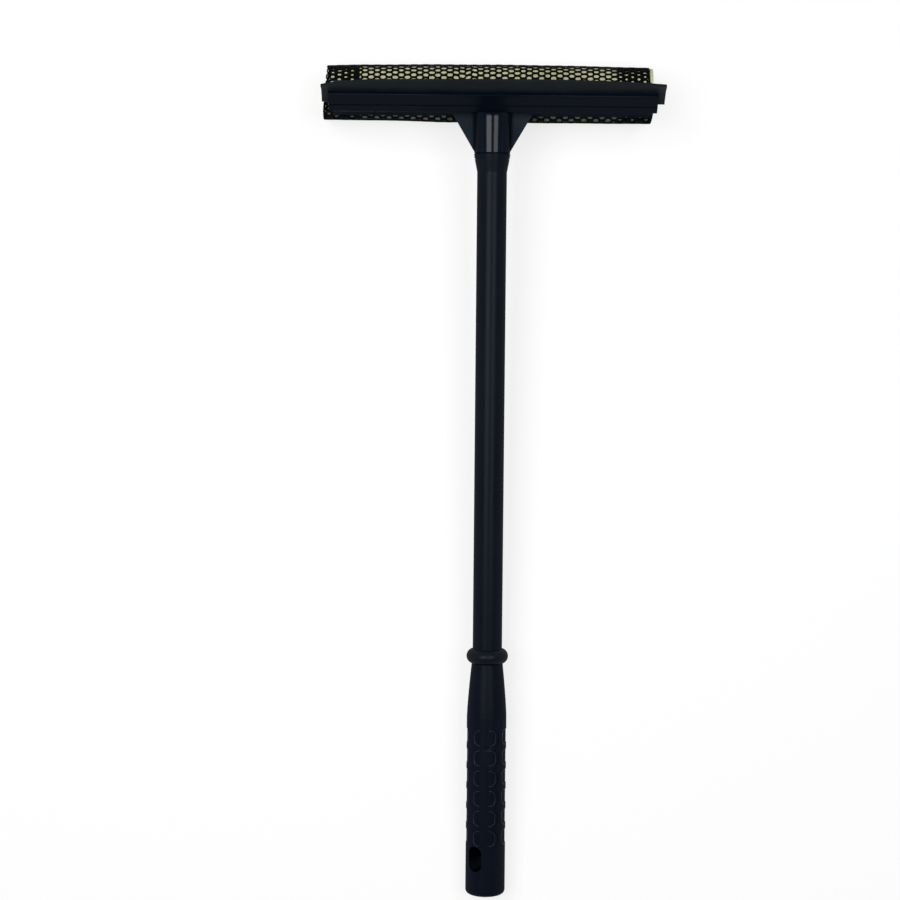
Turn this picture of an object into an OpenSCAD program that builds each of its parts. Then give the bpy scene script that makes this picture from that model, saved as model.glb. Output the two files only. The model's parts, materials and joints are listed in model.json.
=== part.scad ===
// Hand window scrubber: a rubber blade and a netted sponge on one head, with a long tube handle.
// It lies as on a table: on its sponge and the end of its grip, with the blade up.
// Millimetres. X runs along the head, +Y from the grip towards the head, +Z up.

/* [Blade] */
// Length of the rubber blade
blade_len = 211.6; // [150:0.1:330]
// Width of the blade from its root to its wiping edge
blade_w = 18.8; // [15:0.1:26]
// Thickness of the blade
blade_t = 2.2; // [1.6:0.1:2.8]
// Diameter of the bead along the blade's root
bead_d = 3.6; // [3.2:0.1:4.2]
// Clearance on each side of the blade in its channel
blade_clear = 0.2; // [0.1:0.05:0.4]
// Lean of the blade above the surface that the tool lies on, in degrees
blade_lean = 58; // [50:1:64]

/* [Channel] */
// Length of the channel that holds the blade
channel_len = 203.2; // [150:0.1:320]
// Height of the channel from its closed base to its mouth
channel_h = 15.8; // [13:0.1:18]
// Solid base below the blade's root
channel_base = 5.2; // [4.5:0.1:6]
// Thickness of each jaw beside the blade
jaw_t = 1.9; // [1.5:0.1:3]
// Extra thickness of the band along the foot of the front jaw
skirt_t = 0.4; // [0.2:0.1:0.8]
// Radius of the rounded lips along the mouth
lip_r = 0.7; // [0.4:0.1:1]

/* [Frame] */
// How far each end of the frame stops short of the channel
frame_setback = 1.3; // [0.5:0.1:5]
// Thickness of the flat plate over the sponge
plate_t = 3; // [2:0.1:4]
// Depth of the plate, from the front wall to its back edge
plate_depth = 20.4; // [18:0.1:25]
// Thickness of the front wall
wall_t = 2.5; // [2:0.1:3.5]
// How far the rim along the foot of the front wall stands out
foot_rim = 0.9; // [0.5:0.1:1.5]
// Height of the rim
foot_rim_h = 1.3; // [0.8:0.1:2.5]
// Thickness of the inclined seat behind the channel
seat_t = 2.4; // [2:0.1:3.5]
// Thickness of each rib
rib_t = 2; // [1.5:0.1:3]
// Number of ribs between the plate and the seat
rib_count = 8; // [6:2:10]

/* [Socket] */
// Length of the socket from the handle joint to the front wall
socket_len = 26.2; // [20:0.1:30]
// Outside diameter of the socket at the handle joint
socket_end_d = 22.5; // [21.5:0.1:24]
// Outside diameter of the socket at the front wall
socket_wall_d = 24.4; // [23:0.1:27]
// Diameter of the plug that joins the handle to the socket
plug_d = 17; // [16.4:0.1:18]
// Length of the plug inside the socket
plug_in_socket = 24; // [20:0.1:26]
// Length of the plug inside the tube
plug_in_tube = 40; // [20:1:80]
// Reach of each gusset from the handle's axis at the front wall
gusset_reach = 26; // [18:0.1:30]
// Thickness of the gussets
gusset_t = 3; // [2:0.1:4]
// Half width of the arched pad that strengthens the front wall round the socket
arch_reach = 23; // [18:0.1:26]

/* [Sponge] */
// Length of the sponge along the head
sponge_len = 205.2; // [150:0.1:320]
// Width of the sponge along the handle
sponge_w = 30.2; // [28:0.1:40]
// Thickness of the sponge below the plate
sponge_t = 32; // [24:0.1:40]
// Corner radius of the netting at the sponge's near outer edge
near_round = 10; // [7:0.5:11]
// Corner radius of the netting at the sponge's far outer edge
far_round = 9; // [7:0.5:11]
// Corner radius of the netting at the handle side of the far face
heel_round = 7; // [5:0.5:9]
// Corner radius of the netting under the front wall
brow_round = 7; // [5:0.5:9]

/* [Netting] */
// Width of the netting along the sponge
net_len = 202.6; // [140:0.1:310]
// How far the netting sits off the sponge's middle
net_shift = -1.8; // [-2:0.1:2]
// Thickness of the netting
net_t = 0.8; // [0.6:0.1:1.2]
// Width of the strands between the gaps
strand_w = 2; // [1.4:0.1:2.6]
// Columns of gaps along the sponge, an odd number
net_columns = 23; // [15:2:25]
// Rows of gaps round the sponge
net_rows = 11; // [9:1:12]

/* [Handle] */
// Length of the handle from the joint to the end of the grip
handle_len = 470; // [350:0.1:700]
// Outside diameter of the tube
tube_d = 18.6; // [17.4:0.1:19]
// Wall thickness of the tube
tube_wall = 1.5; // [1.2:0.1:1.8]
// Outside diameter of the flare where the tube meets the socket
flare_d = 22.9; // [21.5:0.1:24]
// Length of the flare
flare_len = 11.5; // [8:0.1:20]
// Bevel on each side of the seam between the flare and the socket
seam_bevel = 0.5; // [0.3:0.1:1]

/* [Grip] */
// Length of the grip
grip_len = 148.6; // [120:0.1:170]
// Outside diameter of the grip
grip_d = 25.2; // [23.5:0.1:28]
// Diameter of the grip at its neck
neck_d = 19.7; // [19.5:0.1:21.5]
// Length of the shoulder between the neck and the full diameter
shoulder_len = 34; // [25:0.5:45]
// Radius round the end of the grip
end_round = 3; // [2:0.1:4]
// Length of solid grip below the end of the tube
grip_solid = 46; // [40:0.5:60]
// Diameter of the ring at the mouth of the grip
ring_d = 26.4; // [24:0.1:28]
// Radius of the ring's rounded section
ring_round = 4.8; // [4.5:0.1:6]
// Width of the hang slot
slot_w = 9.3; // [7:0.1:11]
// Length of the hang slot
slot_len = 16; // [13:0.1:18]
// Distance from the end of the grip to the middle of the slot
slot_at = 24.4; // [20:0.1:28]
// Turn of the slot about the handle, away from straight up, in degrees
slot_turn = -34; // [-40:1:-20]
// Turn of the first column of grip pads, in degrees
pad_turn = 6; // [0:1:12]
// Distance from the end of the grip to the middle of the lowest pad
pad_from_end = 38; // [37:0.1:42]
// Spacing of the pads along the grip
pad_pitch = 12.9; // [11:0.1:14]
// Width of a pad across the grip
pad_w = 13.3; // [9:0.1:15]
// Length of a pad along the grip
pad_len = 9.4; // [7:0.1:10.5]
// Depth of the pads
pad_depth = 0.35; // [0.2:0.05:0.6]

/* [Hidden] */
$fn = 64;
moulded_black = "#1d1e20";
rubber_black = "#2a2a2a";
tube_black = "#26282b";
grip_black = "#303337";
net_black = "#151515";
foam_yellow = "#e9dfa9";
steel = "#9a9da1";
overrun = 1;
sunk = 0.2;
fit_gap = 0.05;
soft_gap = 0.6;
touch_gap = 0.2;

// Heights of the layers, from the surface up
sponge_z = net_t + soft_gap;
sponge_top = sponge_z + sponge_t;
wrap_top = sponge_top + soft_gap + net_t;
plate_z = wrap_top + touch_gap;
plate_top = plate_z + plate_t;

// The handle's axis, which leaves the socket level with the plate and comes down to the surface
grip_r = grip_d / 2;
seam_z = plate_z + socket_end_d / 2;
run_len = handle_len - end_round;
rise_r = grip_r - end_round;
tilt = asin((seam_z - end_round) / sqrt(run_len * run_len + rise_r * rise_r)) - atan2(rise_r, run_len);

// Places along Y, from the handle joint
wall_y = socket_len;
plate_back = wall_y + plate_depth;
wrap_inset = -0.4;
wrap_front = wall_y + wrap_inset;
sponge_front = wrap_front + net_t + soft_gap;
sponge_back = sponge_front + sponge_w;
wrap_back = sponge_back + soft_gap + net_t;
grip_end_y = -(run_len * cos(tilt) + rise_r * sin(tilt) + end_round);
middle_y = (wrap_back + grip_end_y) / 2;

// The blade's own plane: a runs from its root to its edge, b out of its front face
jaw_out = blade_t / 2 + blade_clear + jaw_t;
skirt_out = jaw_out + skirt_t;
mouth_a = channel_h - channel_base;
bead_at = bead_d / 2;
arch_rise = 1.8;
axis_at_wall = seam_z + socket_len * tan(tilt);
wall_top = axis_at_wall + socket_wall_d / 2 - arch_rise;
channel_overhang = 2;
along = [cos(blade_lean), sin(blade_lean)];
front = [-sin(blade_lean), cos(blade_lean)];
root = [wall_y - channel_overhang, wall_top] + channel_base * along - skirt_out * front;
function at_blade(a, b) = root + a * along + b * front;

// The frame's inclined seat, ledge and ribs
frame_len = channel_len - 2 * frame_setback;
ledge_t = 1.8;
ledge_short = 1.6;
seat_back = -jaw_out - fit_gap - seat_t;
seat_below_mouth = 0.6;
seat_top = mouth_a - 2 * lip_r - seat_below_mouth;
rib_inset = 1;
rib_end_inset = 0.3;
rib_run = frame_len - 2 * rib_end_inset;
seat_len = frame_len - rib_end_inset;
bay = (rib_run - rib_t) / (rib_count - 1);

// The socket's inside
bore_d = plug_d + 2 * fit_gap;
bore_depth = plug_in_socket + touch_gap;
socket_end_wall = 3;
brow_drop = 0.2;
brow_cut = 6;
arch_t = 0.8;
arch_cap = 2.4;

// Screws
screw_d = 3;
screw_head_d = 5.6;
screw_head_h = 2;
slot_depth = 0.9;
cross_w = 0.8;
cross_share = 0.7;
channel_screw_bite = 4.2;
backing_screw_y = plate_back - screw_head_d / 2 - rib_inset;
joint_screw_at = 11;
joint_screw_bite = 5;
joint_head_sink = 1.4;
head_clear = 0.3;
backing_t = 2.5;
backing_margin = 1.4;
backing_front = sponge_front + brow_round;
backing_back = plate_back - backing_margin;
backing_end = 6;

// The handle's inside
tube_r = tube_d / 2;
tube_bore_r = tube_r - tube_wall;
stem_r = tube_bore_r - fit_gap;
flare_rings = [1.3, 3.2];
ring_cut = 0.3;
ring_cut_w = 0.5;
shoulder_ease = 1.3;
shoulder_steps = 8;
end_steps = 6;
pad_count = 6;
pad_columns = 4;
pad_round = 3;

module placed() {
    translate([0, -middle_y, 0]) children();
}

// Handle frame: z = 0 at the joint, +z towards the head, and -y faces up
module on_handle() {
    placed() translate([0, 0, seam_z]) rotate([tilt - 90, 0, 0]) children();
}

// Blade frame: x along the head, y from the blade's root to its edge, z out of its front face
module on_blade() {
    placed() translate([0, root[0], root[1]]) rotate([blade_lean, 0, 0]) children();
}

// A bar along the head with the section [a0, a1] by [b0, b1] in the blade frame
module bar(len, a0, a1, b0, b1) {
    translate([-len / 2, a0, b0]) cube([len, a1 - a0, b1 - b0]);
}

module along_head(len, d) {
    rotate([0, 90, 0]) cylinder(h = len, d = d, center = true);
}

// A screw along +z, with its head below z = 0
module screw(bite) {
    difference() {
        union() {
            cylinder(h = bite, d = screw_d);
            translate([0, 0, -screw_head_h]) cylinder(h = screw_head_h, d = screw_head_d);
        }
        for (turn = [0, 90])
            rotate([0, 0, turn])
                translate([-screw_head_d * cross_share / 2, -cross_w / 2, -screw_head_h - overrun])
                    cube([screw_head_d * cross_share, cross_w, overrun + slot_depth]);
    }
}

module screw_hole(bite) {
    translate([0, 0, -overrun]) cylinder(h = bite + overrun + touch_gap, d = screw_d + 2 * fit_gap);
}

// The middle of bay i between two ribs
function bay_x(i) = -rib_run / 2 + rib_t / 2 + bay * (i + 1 / 2);
channel_bays = [for (i = [0 : 2 : rib_count - 2]) i];
backing_bays = [for (i = [1 : 2 : rib_count - 2]) i];

module at_channel_screws() {
    for (i = channel_bays)
        on_blade() translate([bay_x(i), -channel_base / 2, seat_back]) children();
}

module at_backing_screws() {
    for (i = backing_bays)
        placed() translate([bay_x(i), backing_screw_y, plate_top]) rotate([180, 0, 0]) children();
}

module at_joint_screw() {
    on_handle() translate([0, socket_end_d / 2 - joint_head_sink, joint_screw_at]) rotate([90, 0, 0])
        children();
}

module rib_outline() {
    seat_foot = at_blade(-channel_base, seat_back + sunk);
    seat_head = at_blade(seat_top - rib_inset, seat_back + sunk);
    polygon([[wall_y + wall_t - sunk, plate_top - sunk], [plate_back - rib_inset, plate_top - sunk],
        seat_head, seat_foot, [wall_y + wall_t - sunk, wall_top - ledge_t]]);
}

module frame_ribs() {
    for (i = [0 : rib_count - 1])
        placed() translate([-rib_run / 2 + i * bay, 0, 0]) rotate([90, 0, 90])
            linear_extrude(rib_t) rib_outline();
}

// The socket, with its top sloped down to the foot of the channel
module socket_outside() {
    difference() {
        on_handle() {
            cylinder(h = seam_bevel, d1 = socket_end_d - 2 * seam_bevel, d2 = socket_end_d);
            translate([0, 0, seam_bevel])
                cylinder(h = socket_len - seam_bevel, d1 = socket_end_d, d2 = socket_wall_d);
            translate([0, 0, socket_len - sunk])
                cylinder(h = bore_depth + socket_end_wall - socket_len + sunk, d = socket_wall_d);
        }
        placed() translate([0, wall_y - channel_overhang, wall_top - brow_drop]) rotate([-45, 0, 0])
            translate([-socket_wall_d, -brow_cut, 0]) cube([2 * socket_wall_d, 2 * brow_cut, brow_cut]);
    }
}

module arched_pad() {
    r = min(arch_reach, wall_top - plate_z - fit_gap);
    placed() translate([0, wall_y + sunk, plate_z]) rotate([90, 0, 0]) intersection() {
        cylinder(h = arch_t + sunk, r = r);
        translate([-r, 0, 0]) cube([2 * r, r - arch_cap, arch_t + sunk]);
    }
}

module gussets() {
    on_handle() translate([0, gusset_t / 2, 0]) rotate([90, 0, 0]) linear_extrude(gusset_t)
        polygon([[-socket_end_d / 2 + seam_bevel, seam_bevel], [-gusset_reach, socket_len + sunk],
            [gusset_reach, socket_len + sunk], [socket_end_d / 2 - seam_bevel, seam_bevel]]);
}

module head_frame() {
    color(moulded_black) difference() {
        union() {
            placed() translate([-frame_len / 2, wall_y, plate_z]) {
                cube([frame_len, plate_depth, plate_t]);
                cube([frame_len, wall_t, wall_top - plate_z]);
                translate([0, -foot_rim, 0]) cube([frame_len, foot_rim + sunk, foot_rim_h]);
            }
            on_blade() {
                bar(seat_len, -channel_base - fit_gap - ledge_t, seat_top, seat_back, -jaw_out - fit_gap);
                bar(seat_len, -channel_base - fit_gap - ledge_t, -channel_base - fit_gap,
                    seat_back, skirt_out - ledge_short);
            }
            frame_ribs();
            socket_outside();
            arched_pad();
            gussets();
        }
        on_blade() bar(channel_len + 2 * overrun, -channel_base - fit_gap, channel_h,
            -jaw_out - fit_gap, skirt_out + fit_gap);
        on_handle() translate([0, 0, -overrun]) cylinder(h = bore_depth + overrun, d = bore_d);
        placed() translate([-frame_len / 2, 0, 0]) cube([frame_len, wrap_back, plate_z]);
        at_channel_screws() screw_hole(seat_t);
        at_backing_screws() screw_hole(plate_t);
        at_joint_screw() {
            screw_hole(joint_screw_bite);
            mirror([0, 0, 1]) cylinder(h = socket_end_d / 2, d = screw_head_d + 2 * head_clear);
        }
    }
}

module blade_channel() {
    color(moulded_black) difference() {
        on_blade() {
            bar(channel_len, -channel_base, mouth_a, -jaw_out, jaw_out);
            bar(channel_len, -channel_base, 0, 0, skirt_out);
            for (side = [-1, 1])
                translate([0, mouth_a - lip_r, side * jaw_out]) along_head(channel_len, 2 * lip_r);
        }
        on_blade() {
            translate([0, bead_at, 0]) along_head(channel_len + 2 * overrun, bead_d + 2 * blade_clear);
            bar(channel_len + 2 * overrun, bead_at, mouth_a + overrun, -blade_t / 2 - blade_clear,
                blade_t / 2 + blade_clear);
        }
        at_channel_screws() screw_hole(seat_t + channel_screw_bite);
    }
}

module channel_screws() {
    color(steel) at_channel_screws() screw(seat_t + channel_screw_bite);
}

module rubber_blade() {
    color(rubber_black) on_blade() {
        translate([0, bead_at, 0]) along_head(blade_len, bead_d);
        bar(blade_len, bead_at, blade_w, -blade_t / 2, blade_t / 2);
    }
}

// The netting's outline round the sponge: each stretch is [length, start, heading, radius], and a
// radius of zero is straight. It runs from the hem behind the plate's edge, over the outer edge, along
// the face that the tool lies on, up the handle side and back under the front wall.
hem_reach = 8.9;
brow_hem = 4.6;
hem_start = [plate_back - hem_reach, wrap_top];
quarter = PI / 2;
stretches = [
    [wrap_back - near_round - hem_start[0], hem_start, 0, 0],
    [quarter * near_round, [wrap_back - near_round, wrap_top], 0, near_round],
    [wrap_top - near_round - far_round, [wrap_back, wrap_top - near_round], -90, 0],
    [quarter * far_round, [wrap_back, far_round], -90, far_round],
    [wrap_back - wrap_front - far_round - heel_round, [wrap_back - far_round, 0], -180, 0],
    [quarter * heel_round, [wrap_front + heel_round, 0], -180, heel_round],
    [wrap_top - heel_round - brow_round, [wrap_front, heel_round], -270, 0],
    [quarter * brow_round, [wrap_front, wrap_top - brow_round], -270, brow_round],
    [brow_hem, [wrap_front + brow_round, wrap_top], -360, 0]
];
function total(list, i = 0) = i == len(list) ? 0 : list[i][0] + total(list, i + 1);
wrap_len = total(stretches);
function outward(heading) = [-sin(heading), cos(heading)];
function heading_at(stretch, s) =
    stretch[2] - (stretch[3] > 0 ? s / stretch[3] * 180 / PI : 0);
function point_on(stretch, s, depth) = stretch[3] > 0
    ? stretch[1] - stretch[3] * outward(stretch[2]) + (stretch[3] - depth) * outward(heading_at(stretch, s))
    : stretch[1] + s * [cos(stretch[2]), sin(stretch[2])] - depth * outward(stretch[2]);
function wrap_at(s, depth, i = 0) = i < len(stretches) - 1 && s > stretches[i][0]
    ? wrap_at(s - stretches[i][0], depth, i + 1)
    : point_on(stretches[i], s, depth);

// The lattice of gaps: column i holds its gaps half a row lower or higher than its neighbours
column_w = net_len / (net_columns + 1);
row_h = wrap_len / net_rows;
gap_x = column_w - strand_w / 2 * sqrt(1 + pow(2 * column_w / row_h, 2)) / 2;
gap_s = gap_x * row_h / column_w / 2;
function odd(i) = i % 2;
function rows_in(i) = net_rows - odd(i);
function gap_middle(i, j) = [(i - (net_columns - 1) / 2) * column_w, (j + (1 + odd(i)) / 2) * row_h];

// Corner numbers in the list of points: four a gap, left, below, right and above, then the border,
// with a point each half row along its sides
gap_count = net_columns * net_rows;
function corner(i, j, k) = 4 * (i * net_rows + j) + k;
function low_edge(i) = 4 * gap_count + i;
function high_edge(i) = 4 * gap_count + net_columns + i;
function left_edge(half) = 4 * gap_count + 2 * net_columns + half;
function right_edge(half) = left_edge(2 * net_rows + 1 + half);
skin_count = right_edge(2 * net_rows + 1);
corner_shifts = [[-gap_x, 0], [0, -gap_s], [gap_x, 0], [0, gap_s]];
flat_points = concat(
    [for (i = [0 : net_columns - 1], j = [0 : net_rows - 1], k = [0 : 3])
        gap_middle(i, j) + (j < rows_in(i) ? corner_shifts[k] : [0, -row_h / 2])],
    [for (i = [0 : net_columns - 1]) [gap_middle(i, 0)[0], 0]],
    [for (i = [0 : net_columns - 1]) [gap_middle(i, 0)[0], wrap_len]],
    [for (half = [0 : 2 * net_rows]) [-net_len / 2, half * row_h / 2]],
    [for (half = [0 : 2 * net_rows]) [net_len / 2, half * row_h / 2]]
);

// Faces of one skin, anticlockwise seen from outside
function fan(p, list) = [for (i = [0 : len(list) - 2]) [p, list[i], list[i + 1]]];
skin_faces = [
    for (i = [0 : net_columns - 2], j = [0 : rows_in(i) - 1])
        let (u = j + odd(i))
        if (u < rows_in(i + 1))
            each fan(corner(i, j, 2), [corner(i + 1, u, 1), corner(i + 1, u, 0), corner(i, j, 3)]),
    for (i = [0 : net_columns - 2], j = [0 : rows_in(i) - 1])
        let (u = j - 1 + odd(i))
        if (u >= 0)
            each fan(corner(i, j, 1), [corner(i + 1, u, 0), corner(i + 1, u, 3), corner(i, j, 2)]),
    for (i = [0 : net_columns - 1], j = [0 : rows_in(i) - 2])
        let (u = j + odd(i))
        each fan(corner(i, j, 3), [
            i < net_columns - 1 ? corner(i + 1, u, 0) : right_edge(2 * j + 2),
            corner(i, j + 1, 1),
            i > 0 ? corner(i - 1, u, 2) : left_edge(2 * j + 2)]),
    for (i = [0 : net_columns - 1])
        let (before = i > 0 ? (odd(i) ? corner(i - 1, 0, 2) : corner(i, 0, 0)) : left_edge(0),
            after = i < net_columns - 1 ? (odd(i) ? corner(i + 1, 0, 0) : corner(i, 0, 2)) : right_edge(0))
        each fan(low_edge(i), [after, corner(i, 0, 1), before]),
    for (i = [0 : net_columns - 1])
        let (top = rows_in(i) - 1,
            before = i > 0 ? (odd(i) ? corner(i - 1, net_rows - 1, 2) : corner(i, top, 0))
                : left_edge(2 * net_rows),
            after = i < net_columns - 1 ? (odd(i) ? corner(i + 1, net_rows - 1, 0) : corner(i, top, 2))
                : right_edge(2 * net_rows))
        each fan(high_edge(i), [before, corner(i, top, 3), after]),
    for (i = [0 : net_columns - 2])
        let (side = odd(i) ? corner(i + 1, 0, 0) : corner(i, 0, 2))
        [low_edge(i), low_edge(i + 1), side],
    for (i = [0 : net_columns - 2])
        let (side = odd(i) ? corner(i + 1, net_rows - 1, 0) : corner(i, net_rows - 1, 2))
        [high_edge(i + 1), high_edge(i), side],
    for (j = [0 : net_rows - 1])
        each fan(corner(0, j, 0), [corner(0, j, 3), left_edge(2 * j + 2), left_edge(2 * j + 1),
            left_edge(2 * j), corner(0, j, 1)]),
    for (j = [0 : net_rows - 1])
        let (last = net_columns - 1)
        each fan(corner(last, j, 2), [corner(last, j, 1), right_edge(2 * j), right_edge(2 * j + 1),
            right_edge(2 * j + 2), corner(last, j, 3)])
];

// The open sides: round each gap, then round the border, each followed with the net on its left
gap_rims = [for (i = [0 : net_columns - 1], j = [0 : rows_in(i) - 1])
    [for (k = [0 : 3]) corner(i, j, 3 - k)]];
border = concat(
    [for (i = [0 : net_columns - 1]) low_edge(i)],
    [for (half = [0 : 2 * net_rows]) right_edge(half)],
    [for (i = [net_columns - 1 : -1 : 0]) high_edge(i)],
    [for (half = [2 * net_rows : -1 : 0]) left_edge(half)]
);
function rim_walls(rim) = [for (k = [0 : len(rim) - 1])
    let (p = rim[k], q = rim[(k + 1) % len(rim)])
    each [[p, q, q + skin_count], [p, q + skin_count, p + skin_count]]];

module mesh_cover() {
    skins = [for (depth = [0, net_t], p = flat_points)
        let (place = wrap_at(p[1], depth))
        [p[0] + net_shift, place[0], place[1]]];
    faces = concat(
        [for (f = skin_faces) [f[2], f[1], f[0]]],
        [for (f = skin_faces) [f[0] + skin_count, f[1] + skin_count, f[2] + skin_count]],
        [for (rim = gap_rims) each rim_walls(rim)],
        rim_walls(border)
    );
    color(net_black) placed() polyhedron(skins, faces, convexity = 10);
}

// A corner of the sponge, turning clockwise from the angle given
arc_steps = 8;
function sponge_arc(y, z, radius, from) = [for (k = [0 : arc_steps])
    [y, z] + radius * [cos(from - 90 * k / arc_steps), sin(from - 90 * k / arc_steps)]];

module sponge() {
    color(foam_yellow) placed() difference() {
        translate([-sponge_len / 2, 0, 0]) rotate([90, 0, 90]) linear_extrude(sponge_len)
            polygon(concat(
                sponge_arc(sponge_back - near_round, sponge_top - near_round, near_round, 90),
                sponge_arc(sponge_back - far_round, sponge_z + far_round, far_round, 0),
                sponge_arc(sponge_front + heel_round, sponge_z + heel_round, heel_round, -90),
                sponge_arc(sponge_front + brow_round, sponge_top - brow_round, brow_round, -180)));
        translate([-frame_len / 2 + backing_end - touch_gap, backing_front - touch_gap,
            sponge_top - backing_t - touch_gap])
            cube([frame_len - 2 * (backing_end - touch_gap),
                backing_back - backing_front + 2 * touch_gap, backing_t + touch_gap + overrun]);
    }
}

module sponge_backing() {
    color(moulded_black) difference() {
        placed() translate([-frame_len / 2 + backing_end, backing_front, sponge_top - backing_t])
            cube([frame_len - 2 * backing_end, backing_back - backing_front, backing_t]);
        at_backing_screws() screw_hole(backing_bite);
    }
}

backing_bite = plate_top - sponge_top + backing_t - touch_gap;

module backing_screws() {
    color(steel) at_backing_screws() screw(backing_bite);
}

module joint_plug() {
    color(moulded_black) difference() {
        on_handle() {
            cylinder(h = plug_in_socket, d = plug_d);
            translate([0, 0, -plug_in_tube]) cylinder(h = plug_in_tube + sunk, r = stem_r);
        }
        at_joint_screw() screw_hole(joint_screw_bite);
    }
}

module joint_screw() {
    color(steel) at_joint_screw() screw(joint_screw_bite);
}

module handle_tube() {
    color(tube_black) on_handle() rotate_extrude() difference() {
        polygon([[tube_bore_r, 0], [flare_d / 2 - seam_bevel, 0], [flare_d / 2, -seam_bevel],
            [tube_r, -flare_len],
            [tube_r, grip_solid - handle_len], [tube_bore_r, grip_solid - handle_len]]);
        for (down = flare_rings)
            translate([flare_d / 2 - down * (flare_d / 2 - tube_r) / flare_len - ring_cut,
                -down - ring_cut_w / 2]) square([overrun, ring_cut_w]);
    }
}

module grip_ring() {
    color(grip_black) on_handle() translate([0, 0, grip_len + ring_half + fit_gap - handle_len])
        rotate_extrude() intersection() {
            translate([ring_d / 2 - ring_round, 0]) circle(ring_round);
            translate([tube_r + fit_gap, -ring_half])
                square([ring_d / 2 - tube_r, 2 * ring_half]);
        }
}

ring_half = sqrt(ring_round * ring_round - pow(tube_r + fit_gap - ring_d / 2 + ring_round, 2));

module slot_outline() {
    square([slot_w, slot_len - slot_w], center = true);
    for (side = [-1, 1]) translate([0, side * (slot_len - slot_w) / 2]) circle(d = slot_w);
}

module pad_outline() {
    square([pad_w, pad_len - 2 * pad_round], center = true);
    square([pad_w - 2 * pad_round, pad_len], center = true);
    for (x = [-1, 1], y = [-1, 1])
        translate([x * (pad_w / 2 - pad_round), y * (pad_len / 2 - pad_round)]) circle(pad_round);
}

// A cutter that stands out of the handle's top, centred on z = at and turned about the axis
module out_of_handle(at, turn) {
    rotate([0, 0, turn]) translate([0, 0, at]) rotate([90, 0, 0]) children();
}

module grip() {
    neck_r = neck_d / 2;
    full_len = grip_len - shoulder_len;
    outline = concat(
        [[0, 0]],
        [for (k = [0 : end_steps]) let (a = 90 * k / end_steps)
            [rise_r + end_round * sin(a), end_round - end_round * cos(a)]],
        [for (k = [0 : shoulder_steps]) let (t = k / shoulder_steps)
            [neck_r + (grip_r - neck_r) * (1 - pow(t, shoulder_ease)), full_len + shoulder_len * t]],
        [[0, grip_len]]
    );
    color(grip_black) on_handle() translate([0, 0, -handle_len]) difference() {
        rotate_extrude() polygon(outline);
        translate([0, 0, grip_solid - touch_gap])
            cylinder(h = grip_len, r = tube_r + fit_gap);
        out_of_handle(slot_at, slot_turn) translate([0, 0, -grip_d]) linear_extrude(2 * grip_d)
            slot_outline();
        for (column = [0 : pad_columns - 1], i = [0 : pad_count - 1])
            intersection() {
                out_of_handle(pad_from_end + i * pad_pitch, pad_turn + column * 360 / pad_columns)
                    linear_extrude(grip_d) pad_outline();
                difference() {
                    cylinder(h = full_len, r = grip_r + overrun);
                    cylinder(h = full_len, r = grip_r - pad_depth);
                }
            }
    }
}

head_frame();
blade_channel();
channel_screws();
rubber_blade();
sponge();
mesh_cover();
sponge_backing();
backing_screws();
joint_plug();
joint_screw();
handle_tube();
grip_ring();
grip();
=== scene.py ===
"""Window scrubber on its sponge, seen from straight above. Metres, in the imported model's frame."""
import json
import math

import bmesh
import bpy
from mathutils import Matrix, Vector, noise


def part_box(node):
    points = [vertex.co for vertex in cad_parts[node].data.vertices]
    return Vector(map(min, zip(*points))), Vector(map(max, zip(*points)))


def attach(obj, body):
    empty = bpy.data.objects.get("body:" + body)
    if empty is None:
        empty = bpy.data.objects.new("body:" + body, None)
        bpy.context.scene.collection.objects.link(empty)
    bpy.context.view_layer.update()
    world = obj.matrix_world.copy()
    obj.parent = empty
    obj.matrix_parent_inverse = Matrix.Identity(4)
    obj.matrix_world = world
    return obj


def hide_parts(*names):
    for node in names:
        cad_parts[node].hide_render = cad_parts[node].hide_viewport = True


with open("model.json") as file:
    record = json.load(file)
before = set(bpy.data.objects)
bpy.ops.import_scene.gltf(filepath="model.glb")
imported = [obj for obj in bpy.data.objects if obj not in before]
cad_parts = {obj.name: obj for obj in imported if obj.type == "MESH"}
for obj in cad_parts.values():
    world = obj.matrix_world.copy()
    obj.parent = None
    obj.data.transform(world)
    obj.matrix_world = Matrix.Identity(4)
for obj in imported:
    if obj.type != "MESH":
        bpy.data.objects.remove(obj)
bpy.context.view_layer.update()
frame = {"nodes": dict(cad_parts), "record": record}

MM = 0.001
scene = bpy.context.scene
nodes = frame["nodes"]


# Camera, stage and light

# The camera looks straight down, and its focal length is in pixels of the square view.
HEIGHT = 1.4215
VIEW_PIXELS, FOCAL_PIXELS = 900, 2200
CENTRE = (-0.0248, 0.0200)
ROLL = math.radians(0.5)
SENSOR = 36
NEAREST, FARTHEST = 0.05, 50
# The lamps are two soft boxes side by side above the tool.
SKY_COLOUR, SKY_LIGHT = (0.9, 0.95, 1, 1), 0.10
BOX_Y, BOX_HEIGHT, BOX_LENGTH = 0.22, 1.38, 1.0
# The floor is flat out to its last ring, then curves up by the cove's radius into the wall.
FLOOR_RINGS = (0.0, 1.5, 3.0, 4.5, 6.0)
COVE_RADIUS, COVE_STEPS, WALL_TOP = 2, 6, 4.5
SPOKES = 64
FLOOR_DROP = 0.05 * MM
PAPER = (0.85, 0.85, 0.85, 1)
FLOOR_WHITE, FLOOR_LIFT_SHARE = 1.07, 0.7


def make_camera():
    data = bpy.data.cameras.new("camera")
    data.sensor_width = SENSOR
    data.lens = SENSOR * FOCAL_PIXELS / VIEW_PIXELS
    data.clip_start, data.clip_end = NEAREST, FARTHEST
    camera = bpy.data.objects.new("camera", data)
    camera.location = (*CENTRE, HEIGHT)
    camera.rotation_euler = (0, 0, ROLL)
    scene.collection.objects.link(camera)
    scene.camera = camera


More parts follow.
